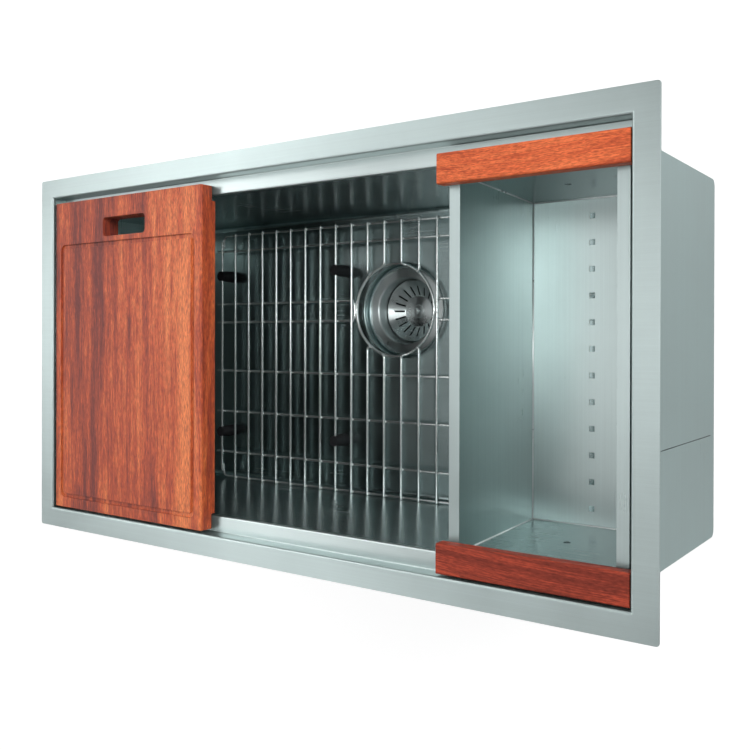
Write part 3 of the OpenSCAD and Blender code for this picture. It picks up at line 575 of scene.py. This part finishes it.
def make_grid_welds(material):
    """Small weld spots wherever a long wire of the grid lies on a cross wire or on the ring."""
    shape = bmesh.new()
    between_z = (LONG_WIRE_Z + CROSS_WIRE_Z) / 2
    pitch = 2 * GRID_SIDE_X / (WIRE_COUNT - 1)
    spot = (WIRE_R * 1.15, WIRE_R * 1.15, WIRE_R * 0.55)
    for i in range(WIRE_COUNT):
        x = -GRID_SIDE_X + i * pitch
        on_side = i in (0, WIRE_COUNT - 1)
        for y in CROSS_WIRE_YS + (() if on_side else END_ROD_YS):
            add_blob(shape, (x, y, between_z), spot)
        if abs(x) > RING_R:
            for y in (DRAIN_Y - HAIRPIN_ARM, DRAIN_Y + HAIRPIN_ARM):
                add_blob(shape, (x, y, between_z), spot)
    for side in (-1, 1):
        tack = (WIRE_R * 0.7, WIRE_R * 2.2, WIRE_R * 0.7)
        add_blob(shape, (side * (RING_R + WIRE_R), DRAIN_Y, CROSS_WIRE_Z), tack)
    loose_piece("grid_weld_spots", shape, material, "bottom_grid")


def make_colander_beads_and_highlights(material):
    """Thin beads along the folds of the colander's base and its four upright corners; they round the folds,
    and their whitish weld finish paints the highlight the folds catch.
    """
    shape = bmesh.new()
    corners = [(0, 0), (1, 0), (1, 1), (0, 1)]
    base = [(BASE_X[i], BASE_Y[j], BASE_Z) for i, j in corners]
    mouth = [(MOUTH_X[i], MOUTH_Y[j], MOUTH_Z) for i, j in corners]
    for here, there in zip(base, base[1:] + base[:1]):
        add_rod(shape, here, there, BEAD_R)
    for low, high in zip(base, mouth):
        add_rod(shape, low, high, BEAD_R)
        add_blob(shape, low, (BEAD_CORNER_R,) * 3)
    loose_piece("colander_fold_highlight_beads", shape, material, "colander")


def make_seam_shade_lines(material):
    """Dark strip in the bottom of the seam on each side wall, in the black rubber finish: painted shade for
    the groove.
    """
    shape = bmesh.new()
    low, high = SEAM_Z
    for side in (-1, 1):
        place = (side * SEAM_X, SEAM_Y, (low + high) / 2)
        matrix = Matrix.Translation(place) @ Matrix.Diagonal((*SEAM_SHADE_LINE, high - low, 1.0))
        bmesh.ops.create_cube(shape, size=1.0, matrix=matrix)
    loose_piece("side_seam_shade_lines", shape, material, "sink")


# ---------------------------------------------------------------- studio

FLOOR_HALF = 6.0
FLOOR_GAP = 0.0005
FLOOR_TONE = (0.56, 0.585, 0.585, 1.0)
FLOOR_SHADE = (0.3, 0.3, 0.3, 1.0)
FLOOR_GLOW = 0.82
HORIZON_LIGHT = 0.6
ZENITH_LIGHT = 0.12


def mix_by_camera(tree, seen, other, output):
    """One shader for what the camera sees straight on, another for all other rays."""
    choice = add(tree, "MixShader")
    wire(tree, add(tree, "LightPath").outputs["Is Camera Ray"], choice.inputs[0])
    wire(tree, other, choice.inputs[1])
    wire(tree, seen, choice.inputs[2])
    wire(tree, choice.outputs[0], output)


def make_floor():
    """Pale floor, white to the camera but for a faint shadow."""
    half = FLOOR_HALF
    z = cad_box[0][2] - FLOOR_GAP
    mesh = bpy.data.meshes.new("studio_floor")
    corners = [(-half, -half, z), (half, -half, z), (half, half, z), (-half, half, z)]
    mesh.from_pydata(corners, [], [(0, 1, 2, 3)])
    floor = bpy.data.objects.new("studio_floor", mesh)
    bpy.context.scene.collection.objects.link(floor)
    material = bpy.data.materials.new("studio_floor")
    material.use_nodes = True
    tree = material.node_tree
    shader = principled(material)
    shader.inputs["Base Color"].default_value = FLOOR_TONE
    shader.inputs["Roughness"].default_value = 0.9
    shader.inputs["Specular IOR Level"].default_value = 0.0
    glow = add(tree, "Emission")
    glow.inputs["Strength"].default_value = FLOOR_GLOW
    shade = add(tree, "BsdfDiffuse")
    shade.inputs["Color"].default_value = FLOOR_SHADE
    both = add(tree, "AddShader")
    wire(tree, glow.outputs[0], both.inputs[0])
    wire(tree, shade.outputs[0], both.inputs[1])
    output = next(n for n in tree.nodes if n.type == "OUTPUT_MATERIAL")
    mix_by_camera(tree, both.outputs[0], shader.outputs[0], output.inputs["Surface"])
    mesh.materials.append(material)


def area_light(name, place, target, size, power, mirrored=True):
    """Soft box aimed at a point; an unmirrored one lights matt surfaces and leaves no glare on metal."""
    data = bpy.data.lights.new(name, "AREA")
    data.shape = "RECTANGLE"
    data.size, data.size_y = size
    data.energy = power
    lamp = bpy.data.objects.new(name, data)
    bpy.context.scene.collection.objects.link(lamp)
    lamp.location = place
    lamp.rotation_mode = "QUATERNION"
    lamp.rotation_quaternion = (Vector(target) - Vector(place)).to_track_quat("-Z", "Y")
    lamp.visible_glossy = mirrored


def make_world():
    """White to the camera; for all else pale at the horizon and dim overhead, where the strips hang."""
    world = bpy.data.worlds.new("studio")
    bpy.context.scene.world = world
    world.use_nodes = True
    tree = world.node_tree
    soft = next(n for n in tree.nodes if n.type == "BACKGROUND")
    soft.inputs["Color"].default_value = (1.0, 1.0, 1.0, 1.0)
    height = add(tree, "SeparateXYZ")
    wire(tree, add(tree, "TexCoord").outputs["Generated"], height.inputs[0])
    level = spread(tree, height.outputs["Z"], 0.15, 0.6, HORIZON_LIGHT, ZENITH_LIGHT)
    wire(tree, level, soft.inputs["Strength"])
    white = add(tree, "Background")
    white.inputs["Color"].default_value = (1.0, 1.0, 1.0, 1.0)
    output = next(n for n in tree.nodes if n.type == "OUTPUT_WORLD")
    mix_by_camera(tree, white.outputs[0], soft.outputs[0], output.inputs["Surface"])


def make_studio():
    """Strips of light overhead, each over the part of the rim that mirrors it.

    A glow for the inside corner of the colander, a glint for the wires and a low glow for the folded
    front edges go with them. A key lamp that leaves no glare on metal lights the wood.
    """
    make_world()
    make_floor()
    area_light("strip_right", (-0.2, -0.15, 1.9), (-0.2, -0.15, 0.0), (0.5, 1.7), 2.1)
    area_light("strip_middle", (-0.73, 0.35, 1.9), (-0.73, 0.35, 0.0), (0.55, 1.3), 2.7)
    area_light("strip_front", (-1.6, -0.95, 1.9), (-1.2, -0.6, 0.0), (2.6, 0.6), 9.8)
    area_light("strip_rear", (-1.9, 0.95, 1.9), (-1.2, 0.6, 0.0), (2.2, 0.6), 12.6)
    area_light("strip_left", (-3.0, 0.2, 1.7), (-0.4, 0.1, 0.0), (1.2, 2.0), 2.7)
    area_light("corner_glow", (1.35, 0.5, 1.9), (0.3, 0.1, 0.0), (0.9, 1.4), 8.5)
    area_light("wire_glint", (0.75, 0.1, 1.9), (0.0, 0.0, 0.0), (0.14, 1.8), 4.6)
    area_light("edge_glow", (-1.6, 2.2, 1.0), (0.0, 0.0, 0.0), (2.2, 0.8), 12.0)
    area_light("wood_key", (1.9, 1.0, 1.4), (0.0, 0.0, 0.0), (0.9, 0.9), 40.0, mirrored=False)
    area_light("front_fill", (0.6, -2.2, 1.2), (0.0, 0.0, 0.0), (1.6, 1.0), 3.0)


# ---------------------------------------------------------------- scene

make_camera()
materials = make_materials()
dress_nodes(materials)
make_grid_welds(materials["weld_steel"])
make_colander_beads_and_highlights(materials["weld_steel"])
make_seam_shade_lines(materials["black_rubber"])
make_studio()
bpy.context.scene.view_settings.view_transform = "Standard"
